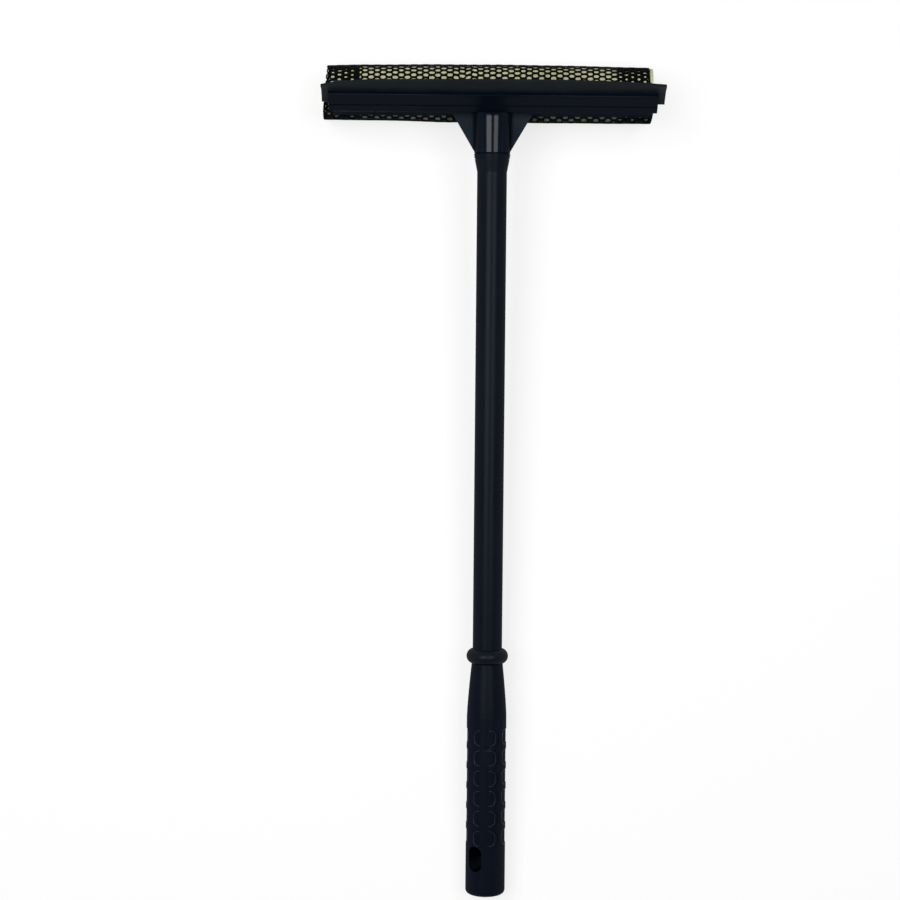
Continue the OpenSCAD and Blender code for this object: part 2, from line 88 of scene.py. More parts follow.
def soft_box(name, x, turn, width, power):
    """A wide lamp above the tool, turned in towards it by some degrees and unseen itself."""
    data = bpy.data.lights.new(name, "AREA")
    data.shape = "RECTANGLE"
    data.size, data.size_y = width, BOX_LENGTH
    data.energy = power
    light = bpy.data.objects.new(name, data)
    light.location = (x, BOX_Y, BOX_HEIGHT)
    light.rotation_euler = (0, math.radians(turn), 0)
    light.visible_camera = False
    scene.collection.objects.link(light)


def make_world():
    world = bpy.data.worlds.new("studio")
    world.use_nodes = True
    sky = world.node_tree.nodes["Background"]
    sky.inputs["Color"].default_value = SKY_COLOUR
    sky.inputs["Strength"].default_value = SKY_LIGHT
    scene.world = world


def shade_smooth(mesh):
    for p in mesh.polygons:
        p.use_smooth = True


def floor_mesh():
    """A wide round floor that curves up into a low wall."""
    edge = FLOOR_RINGS[-1]
    cove = [math.radians(90 * i / COVE_STEPS) for i in range(1, COVE_STEPS + 1)]
    profile = [(r, 0.0) for r in FLOOR_RINGS]
    profile += [(edge + COVE_RADIUS * math.sin(a), COVE_RADIUS - COVE_RADIUS * math.cos(a)) for a in cove]
    profile.append((edge + COVE_RADIUS, WALL_TOP))
    turns = [2 * math.pi * k / SPOKES for k in range(SPOKES)]
    verts, faces = [(0, 0, 0)], []
    for r, z in profile[1:]:
        verts += [(r * math.cos(a), r * math.sin(a), z) for a in turns]
    for k in range(SPOKES):
        m = (k + 1) % SPOKES
        faces.append((0, 1 + k, 1 + m))
        for i in range(len(profile) - 2):
            low, high = 1 + i * SPOKES, 1 + (i + 1) * SPOKES
            faces.append((low + k, high + k, high + m, low + m))
    mesh = bpy.data.meshes.new("floor")
    mesh.from_pydata(verts, [], faces)
    shade_smooth(mesh)
    return mesh


def floor_paper():
    """White paper, evenly lit to the eye and in reflections, that still takes a soft shadow."""
    material = bpy.data.materials.new("floor")
    material.use_nodes = True
    tree = material.node_tree
    tree.nodes.clear()
    out = tree.nodes.new("ShaderNodeOutputMaterial")
    paper = tree.nodes.new("ShaderNodeBsdfDiffuse")
    paper.inputs["Color"].default_value = PAPER
    lift = tree.nodes.new("ShaderNodeEmission")
    lift.inputs["Strength"].default_value = FLOOR_WHITE
    mix = tree.nodes.new("ShaderNodeMixShader")
    path = tree.nodes.new("ShaderNodeLightPath")
    seen = path.outputs["Is Camera Ray"]
    for kind in ("Is Glossy Ray", "Is Transmission Ray"):
        most = tree.nodes.new("ShaderNodeMath")
        most.operation = "MAXIMUM"
        tree.links.new(seen, most.inputs[0])
        tree.links.new(path.outputs[kind], most.inputs[1])
        seen = most.outputs[0]
    share = tree.nodes.new("ShaderNodeMath")
    share.operation = "MULTIPLY"
    share.inputs[1].default_value = FLOOR_LIFT_SHARE
    tree.links.new(seen, share.inputs[0])
    tree.links.new(share.outputs[0], mix.inputs[0])
    tree.links.new(paper.outputs[0], mix.inputs[1])
    tree.links.new(lift.outputs[0], mix.inputs[2])
    tree.links.new(mix.outputs[0], out.inputs["Surface"])
    return material


def make_floor():
    floor = bpy.data.objects.new("floor", floor_mesh())
    floor.location.z = -FLOOR_DROP
    floor.data.materials.append(floor_paper())
    scene.collection.objects.link(floor)


make_camera()
make_world()
make_floor()
soft_box("soft_box_left", x=-0.57, turn=-15, width=0.76, power=15.5)
soft_box("soft_box_right", x=0.50, turn=15, width=0.60, power=10.0)
scene.view_settings.view_transform = "Standard"


# Materials

# The slot's section has round ends: SLOT_ROUND is half its width and a little more, and SLOT_STRAIGHT is
# half the length of its straight sides. A pair of colours is blended by a pattern.
hang_slot = next(m for m in frame["record"]["mounts"] if m["name"] == "hang_slot")
SLOT_ROUND, SLOT_STRAIGHT, SLOT_FADE = 4.67 * MM, 3.35 * MM, 0.15 * MM
# The next pair of colours is painted shade on the walls of the grip's hang slot.
SLOT_SHADE_BLACKS = ((0.0006, 0.0010, 0.0022), (0.0012, 0.0018, 0.0034))
SIDE_FADE = (11.0 * MM, 13.5 * MM)
POLISH_FADE_X, POLISH_FADE_Y = 1.5 * MM, 0.4 * MM
RUBBER_BLACKS = ((0.0040, 0.0060, 0.0090), (0.0082, 0.0112, 0.0160))
FOAM_PALE = ((0.52, 0.525, 0.305), (0.64, 0.645, 0.41))
# The next pair of colours is painted shade in the foam's pores.
FOAM_PORE_SHADE = ((0.28, 0.27, 0.12), (0.37, 0.36, 0.18))
# The next pair of colours is painted shade for the foam along its front edge.
FOAM_FRONT_SHADE = ((0.155, 0.155, 0.110), (0.085, 0.085, 0.056))
FRONT_SHADE_FADE = 3 * MM
YARN_BLACKS = ((0.0012, 0.0014, 0.0016), (0.0062, 0.0066, 0.0070))
STEEL_GREYS = ((0.42, 0.43, 0.45), (0.62, 0.63, 0.64))
WELD, EDGE_STEPS, EDGE_ANGLE = 0.002 * MM, 2, math.radians(32)


class Nodes:
    """A material's node tree, built left to right."""

    def __init__(self, name):
        self.material = bpy.data.materials.new(name)
        self.material.use_nodes = True
        self.tree = self.material.node_tree
        self.tree.nodes.clear()
        self.shader = self.add("BsdfPrincipled")
        self.join(self.shader.outputs[0], self.add("OutputMaterial").inputs["Surface"])
        self.place = self.add("TexCoord").outputs["Object"]

    def add(self, kind, **settings):
        node = self.tree.nodes.new("ShaderNode" + kind)
        for key, value in settings.items():
            setattr(node, key, value)
        return node

    def join(self, a, b):
        self.tree.links.new(a, b)

    def maths(self, operation, *values):
        """A Math node of some sockets and numbers."""
        node = self.add("Math", operation=operation)
        for socket, value in zip(node.inputs, values):
            if isinstance(value, (int, float)):
                socket.default_value = value
            else:
                self.join(value, socket)
        return node.outputs[0]

    def along(self, axis):
        """The piece's own x, y or z."""
        split = self.add("SeparateXYZ")
        self.join(self.place, split.inputs[0])
        return split.outputs[axis]

    def scaled(self, x, y, z):
        node = self.add("Mapping")
        self.join(self.place, node.inputs["Vector"])
        node.inputs["Scale"].default_value = (x, y, z)
        return node.outputs[0]

    def noise(self, scale, detail, rough, vector=None):
        node = self.add("TexNoise")
        self.join(vector or self.place, node.inputs["Vector"])
        for key, value in (("Scale", scale), ("Detail", detail), ("Roughness", rough)):
            node.inputs[key].default_value = value
        return node.outputs["Fac"]

    def cells(self, scale):
        node = self.add("TexVoronoi")
        self.join(self.place, node.inputs["Vector"])
        node.inputs["Scale"].default_value = scale
        return node.outputs["Distance"]

    def remap(self, value, span, result=(0, 1)):
        """The value's span, stretched to the result's and clamped."""
        node = self.add("MapRange")
        self.join(value, node.inputs["Value"])
        for socket, number in zip(node.inputs[1:], (*span, *result)):
            socket.default_value = number
        return node.outputs[0]

    def sum(self, a, b, weight):
        return self.maths("MULTIPLY_ADD", b, weight, a)

    def tint(self, value, colours):
        """From the first colour to the second."""
        node = self.add("Mix", data_type="RGBA")
        self.join(value, node.inputs[0])
        for socket, colour in zip(node.inputs[6:], colours):
            socket.default_value = (*colour, 1)
        return node.outputs[2]

    def blend(self, value, a, b):
        node = self.add("Mix", data_type="RGBA")
        self.join(value, node.inputs[0])
        self.join(a, node.inputs[6])
        self.join(b, node.inputs[7])
        return node.outputs[2]

    def bump(self, height, distance, strength, below=None):
        node = self.add("Bump")
        node.inputs["Distance"].default_value = distance
        node.inputs["Strength"].default_value = strength
        self.join(height, node.inputs["Height"])
        if below is not None:
            self.join(below, node.inputs["Normal"])
        return node.outputs[0]

    def slot_mask(self):
        """1 on the walls of the grip's hang slot and 0 elsewhere."""
        centre, axis = Vector(hang_slot["pos_m"]), Vector(hang_slot["axis"]).normalized()
        across = Vector((0, 1, 0)).cross(axis).normalized()
        shift = self.add("VectorMath", operation="SUBTRACT")
        self.join(self.place, shift.inputs[0])
        shift.inputs[1].default_value = centre
        offs = []
        for way in (across, axis.cross(across)):
            dot = self.add("VectorMath", operation="DOT_PRODUCT")
            self.join(shift.outputs[0], dot.inputs[0])
            dot.inputs[1].default_value = way
            offs.append(self.maths("ABSOLUTE", dot.outputs["Value"]))
        past = self.maths("MAXIMUM", self.maths("SUBTRACT", offs[1], SLOT_STRAIGHT), 0)
        flat = self.add("CombineXYZ")
        self.join(offs[0], flat.inputs[0])
        self.join(past, flat.inputs[1])
        off = self.add("VectorMath", operation="LENGTH")
        self.join(flat.outputs[0], off.inputs[0])
        return self.remap(off.outputs["Value"], (SLOT_ROUND, SLOT_ROUND + SLOT_FADE), (1, 0))

    def finish(self, colour, rough, normal, **numbers):
        """Joins up the shader. rough may be None, and numbers are the shader's plain values."""
        for link, socket in ((colour, "Base Color"), (rough, "Roughness"), (normal, "Normal")):
            if link is not None:
                self.join(link, self.shader.inputs[socket])
        for key, value in numbers.items():
            self.shader.inputs[key.replace("_", " ")].default_value = value
        return self.material


def moulded(name, blacks, rough, grain, grain_depth, gloss, drag, scratches, coat_rough=None,
            polished=None, sides=None, matt_shaded_slot=False):
    """Moulded plastic: slow colour drift, a fine tool texture, flow lines and rubbed scratches.
    gloss is the weight of its gloss coat. polished is the weight, half width and far end of a glossier
    stretch, and sides are the colours on either side of it. matt_shaded_slot paints shade on the hang
    slot's walls and leaves them unpolished."""
    n = Nodes(name)
    drift = n.noise(scale=38, detail=4, rough=0.55)
    fine = n.noise(scale=grain, detail=2, rough=0.6)
    rub = n.noise(scale=1, detail=2, rough=0.5, vector=n.scaled(*drag))
    worn = n.remap(rub, (0.62, 0.8))
    mottle = n.remap(n.sum(drift, fine, 0.35), (0.35, 0.95))
    colour = n.tint(mottle, blacks)
    uneven = n.sum(n.sum(drift, fine, 0.4), worn, 0.5 * scratches)
    rough_map = n.remap(uneven, (0.3, 1.2), (rough - 0.05, rough + 0.09))
    waves = n.bump(n.noise(scale=150, detail=1, rough=0.4), distance=0.02 * MM, strength=0.35)
    grained = n.bump(fine, distance=grain_depth, strength=0.6, below=waves)
    lined = n.bump(rub, distance=0.012 * MM, strength=0.5, below=grained)
    coat = n.remap(n.sum(drift, worn, 0.5 * scratches), (0.3, 1.1), (gloss * 1.15, gloss * 0.75))
    if polished:
        weight, half_width, end = polished
        side = n.maths("ABSOLUTE", n.along(0))
        across = n.remap(side, (half_width, half_width + POLISH_FADE_X), (1, 0))
        ahead = n.remap(n.along(1), (end - POLISH_FADE_Y, end), (1, 0))
        coat = n.sum(coat, n.maths("MULTIPLY", across, ahead), weight - gloss)
        colour = n.blend(n.remap(side, SIDE_FADE), colour, n.tint(mottle, sides))
    if matt_shaded_slot:
        # Painted shade: the slot's walls take darker colours, and their gloss coat is left off.
        inside = n.slot_mask()
        colour = n.blend(inside, colour, n.tint(mottle, SLOT_SHADE_BLACKS))
        coat = n.maths("MULTIPLY", coat, n.remap(inside, (0, 1), (1, 0)))
    n.join(coat, n.shader.inputs["Coat Weight"])
    return n.finish(colour, rough_map, lined, Specular_IOR_Level=0.0, Coat_Roughness=coat_rough or rough)


def rubber(name):
    """Matt rubber: a bloom of paler dust, fine extrusion lines along the blade and tiny pits."""
    n = Nodes(name)
    dust = n.noise(scale=55, detail=5, rough=0.6)
    lines = n.noise(scale=1, detail=3, rough=0.6, vector=n.scaled(9, 1300, 1300))
    colour = n.tint(n.remap(n.sum(dust, lines, 0.4), (0.45, 0.95)), RUBBER_BLACKS)
    ribbed = n.bump(lines, distance=0.03 * MM, strength=0.5)
    pitted = n.bump(n.cells(2600), distance=0.01 * MM, strength=0.4, below=ribbed)
    return n.finish(colour, n.remap(dust, (0.3, 0.75), (0.46, 0.62)), pitted, Specular_IOR_Level=0.09)


def foam(name):
    """Open-cell foam: pale yellow cell walls round pores of several sizes, with painted shade in the pores
    and along the front edge.
    """
    n = Nodes(name)
    small, large = n.cells(1750), n.cells(620)
    pores = n.remap(n.sum(small, large, 0.8), (0.25, 0.95), (1, 0))
    drift = n.remap(n.noise(scale=26, detail=4, rough=0.6), (0.3, 0.7))
    # Painted shade: the pores take the darker foam colours.
    foam_off_front = n.blend(pores, n.tint(drift, FOAM_PALE), n.tint(drift, FOAM_PORE_SHADE))
    # Painted shade: the foam within a few millimetres of the front edge takes darker colours that stand in
    # for the head's shade.
    front_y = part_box("mesh_cover")[0].y
    behind = n.remap(n.along(1), (front_y, front_y + FRONT_SHADE_FADE))
    colour = n.blend(behind, n.tint(pores, FOAM_FRONT_SHADE), foam_off_front)
    level = n.bump(n.sum(small, large, 1.2), distance=0.35 * MM, strength=0.55)
    crumbs = n.bump(n.noise(scale=400, detail=2, rough=0.5), distance=0.12 * MM, strength=0.5, below=level)
    return n.finish(colour, None, crumbs, Roughness=0.95, Specular_IOR_Level=0.08, Sheen_Weight=0.12,
                    Sheen_Roughness=0.6)


def yarn(name):
    """Black knitted plastic yarn: twisted filaments with small satin highlights."""
    n = Nodes(name)
    wave = n.add("TexWave", wave_type="BANDS", bands_direction="DIAGONAL")
    n.join(n.place, wave.inputs["Vector"])
    for key, value in (("Scale", 520), ("Distortion", 3.5), ("Detail", 2), ("Detail Scale", 1.6)):
        wave.inputs[key].default_value = value
    twist = wave.outputs["Fac"]
    fluff = n.noise(scale=1900, detail=3, rough=0.6)
    colour = n.tint(n.remap(n.sum(twist, fluff, 0.6), (0.3, 1.3)), YARN_BLACKS)
    ropy = n.bump(twist, distance=0.10 * MM, strength=0.7)
    fuzzy = n.bump(fluff, distance=0.05 * MM, strength=0.5, below=ropy)
    return n.finish(colour, n.remap(fluff, (0.3, 0.7), (0.42, 0.62)), fuzzy, Specular_IOR_Level=0.02)


def steel(name):
    """Zinc-plated steel screw, turned and slightly dulled."""
    n = Nodes(name)
    stain = n.noise(scale=420, detail=4, rough=0.6)
    turned = n.noise(scale=1, detail=2, rough=0.5, vector=n.scaled(2600, 2600, 400))
    colour = n.tint(n.remap(stain, (0.35, 0.7)), STEEL_GREYS)
    rough_map = n.remap(stain, (0.3, 0.7), (0.24, 0.42))
    return n.finish(colour, rough_map, n.bump(turned, distance=0.02 * MM, strength=0.5), Metallic=1.0)


def round_edges(o, bevel):
    """Rounds an object's sharp edges."""
    weld = o.modifiers.new("weld", "WELD")
    weld.merge_threshold = WELD
    edges = o.modifiers.new("edges", "BEVEL")
    edges.width = bevel
    edges.segments = EDGE_STEPS
    edges.limit_method = "ANGLE"
    edges.angle_limit = EDGE_ANGLE
    edges.harden_normals = True
    edges.use_clamp_overlap = True


def wear(node, material, bevel=0.0):
    """Gives a CAD node its material, and softens its moulded edges."""
    o = nodes[node]
    o.data.materials.clear()
    o.data.materials.append(material)
    if bevel:
        round_edges(o, bevel)


head_black = moulded("head_black", ((0.0022, 0.0040, 0.0085), (0.0050, 0.0080, 0.0150)), rough=0.16,
                     grain=1500, grain_depth=0.010 * MM, gloss=0.08, drag=(14, 900, 900), scratches=0.5,
                     coat_rough=0.13, polished=(0.33, 5.0 * MM, 227.4 * MM),
                     sides=((0.0075, 0.0110, 0.0170), (0.0150, 0.0210, 0.0290)))
channel_black = moulded("channel_black", ((0.0010, 0.0022, 0.0052), (0.0026, 0.0050, 0.0105)), rough=0.20,
                        grain=1700, grain_depth=0.008 * MM, gloss=0.09, drag=(9, 1100, 1100), scratches=0.6)
tube_black = moulded("tube_black", ((0.0024, 0.0044, 0.0082), (0.0052, 0.0082, 0.0130)), rough=0.34,
                     grain=2200, grain_depth=0.02 * MM, gloss=0.105, drag=(800, 10, 800), scratches=0.4)
grip_black = moulded("grip_black", ((0.0020, 0.0034, 0.0082), (0.0040, 0.0062, 0.0128)), rough=0.40,
                     grain=1900, grain_depth=0.03 * MM, gloss=0.10, drag=(220, 80, 220), scratches=0.3,
                     matt_shaded_slot=True)
ring_black = moulded("ring_black", ((0.0034, 0.0050, 0.0095), (0.0066, 0.0090, 0.0145)), rough=0.36,
                     grain=1700, grain_depth=0.02 * MM, gloss=0.15, drag=(220, 220, 220), scratches=0.3)
# Painted highlight: the pad rims are the grip's plastic in a lighter colour, so that they show as light
# lines.
pad_rim_highlight = moulded("pad_rim_highlight", ((0.0075, 0.0105, 0.0170), (0.0150, 0.0195, 0.0290)), rough=0.34,
                    grain=1900, grain_depth=0.02 * MM, gloss=0.60, drag=(220, 80, 220), scratches=0.3)
inner_black = moulded("inner_black", ((0.008, 0.008, 0.009), (0.016, 0.016, 0.018)), rough=0.4,
                      grain=1400, grain_depth=0.02 * MM, gloss=0.3, drag=(300, 300, 300), scratches=0.3)
blade_rubber = rubber("blade_rubber")
foam_yellow = foam("foam_yellow")
yarn_black = yarn("yarn_black")
screw_steel = steel("screw_steel")

wear("head_frame", head_black)
wear("blade_channel", channel_black, bevel=0.18 * MM)
wear("handle_tube", tube_black)
wear("grip_ring", ring_black)
wear("grip", grip_black)
wear("sponge_backing", inner_black, bevel=0.3 * MM)
wear("joint_plug", inner_black, bevel=0.3 * MM)
for screws in ("channel_screws", "backing_screws", "joint_screw"):
    wear(screws, screw_steel, bevel=0.1 * MM)


# Rubber blade

# The bend starts at the channel's mouth. Each droop grows from the middle to the end by its own power.
BLADE_LEAN = math.radians(58)
BLADE_W, BLADE_T = 18.8 * MM, 2.2 * MM
MOUTH = 10.6 * MM
BLADE_CUTS, LIP_CUTS = 56, 6
BLADE_EDGE = 0.12 * MM
ON_PLANE = 1e-7
SET_BACK, BEND_POWER = 1.2 * MM, 1.5
LEFT_LEAN, LEFT_DROOP, LEFT_POWER = 1.2 * MM, 4.1 * MM, 8
RIGHT_DROOP, RIGHT_POWER = 3.3 * MM, 3
CREASE_ANGLE = math.radians(30)


def flex(x, half):
    """How far the wiping edge leans forward: it stands back in the middle and droops at its ends."""
    u = min(1.0, abs(x) / half)
    if x < 0:
        return LEFT_LEAN * u + LEFT_DROOP * u ** LEFT_POWER - SET_BACK
    return RIGHT_DROOP * u ** RIGHT_POWER - SET_BACK


def flexed_blade():
    """The solid blade, cut into strips and bent along its free edge."""
    bm = bmesh.new()
    bm.from_mesh(nodes["rubber_blade"].data)
    bmesh.ops.remove_doubles(bm, verts=bm.verts[:], dist=WELD)
    lo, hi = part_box("rubber_blade")
    along = Vector((0, math.cos(BLADE_LEAN), math.sin(BLADE_LEAN)))
    ahead = Vector((0, -math.sin(BLADE_LEAN), math.cos(BLADE_LEAN)))
    tip = Vector((0, hi.y - BLADE_T / 2 * math.sin(BLADE_LEAN), hi.z - BLADE_T / 2 * math.cos(BLADE_LEAN)))
    root = tip - BLADE_W * along
    free = BLADE_W - MOUTH
    right = Vector((1, 0, 0))
    cuts = [(right * (lo.x + (hi.x - lo.x) * i / BLADE_CUTS), right) for i in range(1, BLADE_CUTS)]
    cuts += [(root + (MOUTH + free * i / LIP_CUTS) * along, along) for i in range(LIP_CUTS)]
    for at, way in cuts:
        every = bm.verts[:] + bm.edges[:] + bm.faces[:]
        bmesh.ops.bisect_plane(bm, geom=every, plane_co=at, plane_no=way, dist=ON_PLANE)
    for v in bm.verts:
        t = min(1.0, max(0.0, ((v.co - root).dot(along) - MOUTH) / free))
        v.co += ahead * flex(v.co.x, hi.x) * t ** BEND_POWER
    mesh = bpy.data.meshes.new("wiping_blade")
    bm.to_mesh(mesh)
    bm.free()
    shade_smooth(mesh)
    mesh.set_sharp_from_angle(angle=CREASE_ANGLE)
    o = bpy.data.objects.new("wiping_blade", mesh)
    scene.collection.objects.link(o)
    mesh.materials.append(blade_rubber)
    round_edges(o, BLADE_EDGE)
    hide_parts("rubber_blade")
    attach(o, "blade")


flexed_blade()


# The outline of the netting

# Its section runs from the hem behind the blade, down the back, under the sponge, up the front and in
# under the plate. NEAR, FAR, HEEL and BROW are the radii of its corners in that order.
net_lo, net_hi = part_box("mesh_cover")
NEAR, FAR, HEEL, BROW = 10 * MM, 9 * MM, 7 * MM, 7 * MM
HEM_IN, BROW_HEM = 21.1 * MM, 4.6 * MM
HALF_NET = 101.3 * MM
# The swelling of the back, the pout of the front, and the flare and spread of the left and right ends,
# each with the places between which it grows
BACK_SWELL, BACK_DIP = 1.25 * MM, 0.55 * MM
POUT, POUT_MORE, POUT_MORE_X, POUT_DROP = 2.45 * MM, 1.0 * MM, (-75 * MM, -25 * MM), 20 * MM
POUT_TURN, FACING_POWER = 1.25, 0.7
WAVE, WAVES_X, WAVES_S = 0.22 * MM, 45, 60
FLARE, FLARE_LOW, FLARE_X, FLARE_Y = 0.8 * MM, 4.2 * MM, (84 * MM, 103 * MM), (4 * MM, 30 * MM)
SPREAD, SPREAD_TOP, SPREAD_X, SPREAD_Y = 1.2 * MM, 1.1 * MM, (84 * MM, HALF_NET), (14 * MM, 26 * MM)
FLARE_BEHIND, FLARE_UNDER = 0.7, 0.3
FACES_UP = 0.98
front, back, top = net_lo.y, net_hi.y, net_hi.z
quarter = math.pi / 2

# Each stretch's length, start (y, z), heading in degrees and radius, round the netting's section
stretches = [
    (HEM_IN - NEAR, (back - HEM_IN, top), 0, 0),
    (quarter * NEAR, (back - NEAR, top), 0, NEAR),
    (top - NEAR - FAR, (back, top - NEAR), -90, 0),
    (quarter * FAR, (back, FAR), -90, FAR),
    (back - front - FAR - HEEL, (back - FAR, 0), -180, 0),
    (quarter * HEEL, (front + HEEL, 0), -180, HEEL),
    (top - HEEL - BROW, (front, HEEL), -270, 0),
    (quarter * BROW, (front, top - BROW), -270, BROW),
    (BROW_HEM, (front + BROW, top), -360, 0),
]
BEHIND_BLADE = stretches[:4]
wrap_len = sum(s[0] for s in stretches)


def outline(s):
    """The outline's point and outward direction (y, z) at a distance along it."""
    for stretch in stretches[:-1]:
        if s <= stretch[0]:
            break
        s -= stretch[0]
    else:
        stretch = stretches[-1]
    _, (y, z), heading, radius = stretch
    a = math.radians(heading)
    if radius:
        b = a - s / radius
        return (y + radius * math.sin(a) - radius * math.sin(b),
                z - radius * math.cos(a) + radius * math.cos(b), -math.sin(b), math.cos(b))
    return y + s * math.cos(a), z + s * math.sin(a), -math.sin(a), math.cos(a)


def smooth(value, low, high):
    t = min(1.0, max(0.0, (value - low) / (high - low)))
    return t * t * (3 - 2 * t)


def puffed(x, s, depth):
    """A point of the sponge's wrapping, which swells behind, pouts in front and flares at its ends."""
    y, z, ny, nz = outline(s)
    lying = max(0.0, -nz)
    u = (x - net_lo.x) / HALF_NET - 1
    swell = (BACK_SWELL * max(0.0, 1 - u * u) - BACK_DIP) * max(0.0, ny) ** FACING_POWER
    wave = WAVE * noise.noise(Vector((x * WAVES_X, s * WAVES_S, 3.1)))
    out = -depth
    if nz <= FACES_UP:
        out += (swell + wave) * (1 - lying)
    pout = (POUT + POUT_MORE * smooth(x, *POUT_MORE_X)) * smooth(top - z, 0, BROW)
    pout *= (1 - POUT_TURN * smooth(top - BROW - z, 0, POUT_DROP)) * max(0.0, -ny) ** FACING_POWER
    low = FLARE_BEHIND * smooth(back - y, *FLARE_Y) + FLARE_UNDER * lying
    flare = (FLARE + FLARE_LOW * low) * smooth(-x, *FLARE_X)
    spread = (SPREAD + SPREAD_TOP * smooth(z, top - BROW, top)) * smooth(x, *SPREAD_X)
    spread *= smooth(back - y, *SPREAD_Y)
    return Vector((x - flare + spread, y + out * ny - pout, z + out * nz))


# Netting

# A hole is its width and height, and vary is how much these differ from cell to cell. The hems are
# second layers under the netting's ends. The snag is one pulled place.
ROWS, COLUMNS = 36, 52
RIM = 0.75 * MM
PITCH_X = (net_hi.x - net_lo.x - 2 * RIM) / (COLUMNS - 1 + 4 / 3)
PITCH_S = wrap_len / ROWS
CELL_TIP = PITCH_X * 2 / 3
STRAND_T = 0.85 * MM
SHOULDER, FOOT = 0.20, 0.72
OVAL_POWER = 2 / 2.5
EDGE_FADE = 1.5 * MM
KEY_STEPS = 200
HOLE, VARY = (3.5 * MM, 2.1 * MM), (0.16, 0.20)
HEM_HOLE, HEM_VARY, HEM_DEPTH = (1.95 * MM, 1.4 * MM), (0.5, 0.5), 0.6 * MM
LEFT_HEM_COLUMNS, RIGHT_HEM_COLUMNS = 4, 5
DRIFT_X, DRIFT_S, DRIFT_WAVES_X, DRIFT_WAVES_S = 0.32 * MM, 0.26 * MM, 110, 95
CELL_WAVES = 900
SNAG_X, SNAG_HALF, SNAG_PULL, SNAG_WAVE = -15.5 * MM, 7 * MM, 0.9 * MM, 2.3 * MM
BAND_SIDES, BAND_STEPS, BAND_WANDER, BAND_WAVES = 8, 240, 0.25 * MM, 160
BAND_LEAST_W, BAND_LEAST_T = 0.86, 0.8
RIPPLE, RIPPLE_SHARE = 1.7 * MM, 0.2
LOOP, LOOP_STEPS, LOOP_START, LOOP_DEPTH = 4.6 * MM, 12, 0.62, 0.5 * MM
LOOP_REACH, LOOP_REACH_VARY, LOOP_POWER = 1.0 * MM, 0.4 * MM, 0.7
LOOP_HALF, LOOP_HALF_VARY = 0.44 * LOOP, 0.05 * LOOP
THREAD_SIDES, FRINGE_R = 6, 0.44 * MM


def drifted(x, s):
    """The knit isn't even: its cells drift, and there is one pulled place left of the handle."""
    place = Vector((x * DRIFT_WAVES_X, s * DRIFT_WAVES_S, 1))
    dx = DRIFT_X * noise.noise(place)
    ds = DRIFT_S * noise.noise(place + Vector((0, 0, 9)))
    off = x - SNAG_X
    return dx, ds + SNAG_PULL * math.exp(-(off / SNAG_HALF) ** 2) * math.sin(off / SNAG_WAVE)


def varied(size, share, cx, cs, seed):
    """A size that differs by up to some share of itself from cell to cell."""
    return size * (1 + share * noise.noise(Vector((cx * CELL_WAVES, cs * CELL_WAVES, seed))))


def hexagon(cx, cs):
    """A cell's corners and the middles of its sides, in order round it."""
    tip, half = CELL_TIP, PITCH_S / 2
    corners = [(cx - tip, cs), (cx - tip / 2, cs - half), (cx + tip / 2, cs - half),
               (cx + tip, cs), (cx + tip / 2, cs + half), (cx - tip / 2, cs + half)]
    ring = []
    for (ax, a_s), (bx, b_s) in zip(corners, corners[1:] + corners[:1]):
        ring += [(ax, a_s), ((ax + bx) / 2, (a_s + b_s) / 2)]
    return ring


def oval(cx, cs, ring, hole, half_x, half_s):
    """The cell's hole: a point of a square-shouldered oval towards each point of its ring."""
    points = []
    for x, s in ring:
        a = math.atan2((s - cs) * hole[0] / hole[1], x - cx)
        c, d = math.cos(a), math.sin(a)
        points.append((cx + half_x * math.copysign(abs(c) ** OVAL_POWER, c),
                       cs + half_s * math.copysign(abs(d) ** OVAL_POWER, d)))
    return points


def lattice(x0, columns, hole, depth, vary, odd=0):
    """A knitted lattice of hexagonal cells with oval holes, wrapped round the sponge."""
    x1 = x0 + PITCH_X * (columns - 1 + 4 / 3)
    verts, faces, known = [], [], {}

    def put(x, s, down, shared):
        """Adds a point, or finds it where neighbouring cells share it."""
        key = (shared, round(x / MM * KEY_STEPS), round(s / MM * KEY_STEPS))
        if shared and key in known:
            return known[key]
        dx, ds = drifted(x, s)
        edge = max(0, min(1.0, (x - x0) / EDGE_FADE, (x1 - x) / EDGE_FADE))
        end = max(0, min(1.0, s / EDGE_FADE, (wrap_len - s) / EDGE_FADE))
        verts.append(puffed(x + dx * edge, min(max(s + ds * end, 0), wrap_len), depth + down))
        known[key] = len(verts) - 1
        return len(verts) - 1

    for i in range(columns):
        offset = (i + odd) % 2
        for j in range(ROWS - offset):
            cx = x0 + CELL_TIP + i * PITCH_X
            cs = (j + 0.5 + 0.5 * offset) * PITCH_S
            half_x = varied(hole[0] / 2, vary[0], cx, cs, depth / MM + 20)
            half_s = varied(hole[1] / 2, vary[1], cx, cs, depth / MM + 40)
            ring = hexagon(cx, cs)
            ovals = oval(cx, cs, ring, hole, half_x, half_s)
            levels = []
            for down, points, shared in ((0, ring, "outer"), (SHOULDER, ovals, ""), (FOOT, ovals, ""),
                                         (1, ring, "inner")):
                levels.append([put(x, s, down * STRAND_T, shared) for x, s in points])
            for k in range(len(ring)):
                m = (k + 1) % len(ring)
                for upper, lower in zip(levels, levels[1:]):
                    faces.append((upper[k], upper[m], lower[m], lower[k]))
    return verts, faces


def piece(name, verts, faces, material=yarn_black, slot="netting"):
    """A smooth mesh object with its faces turned outwards."""
    mesh = bpy.data.meshes.new(name)
    mesh.from_pydata([tuple(v) for v in verts], [], faces)
    mesh.validate()
    mesh.update()
    o = bpy.data.objects.new(name, mesh)
    scene.collection.objects.link(o)
    mesh.materials.append(material)
    shade_smooth(mesh)
    bm = bmesh.new()
    bm.from_mesh(mesh)
    bmesh.ops.recalc_face_normals(bm, faces=bm.faces)
    bm.to_mesh(mesh)
    bm.free()
    return o


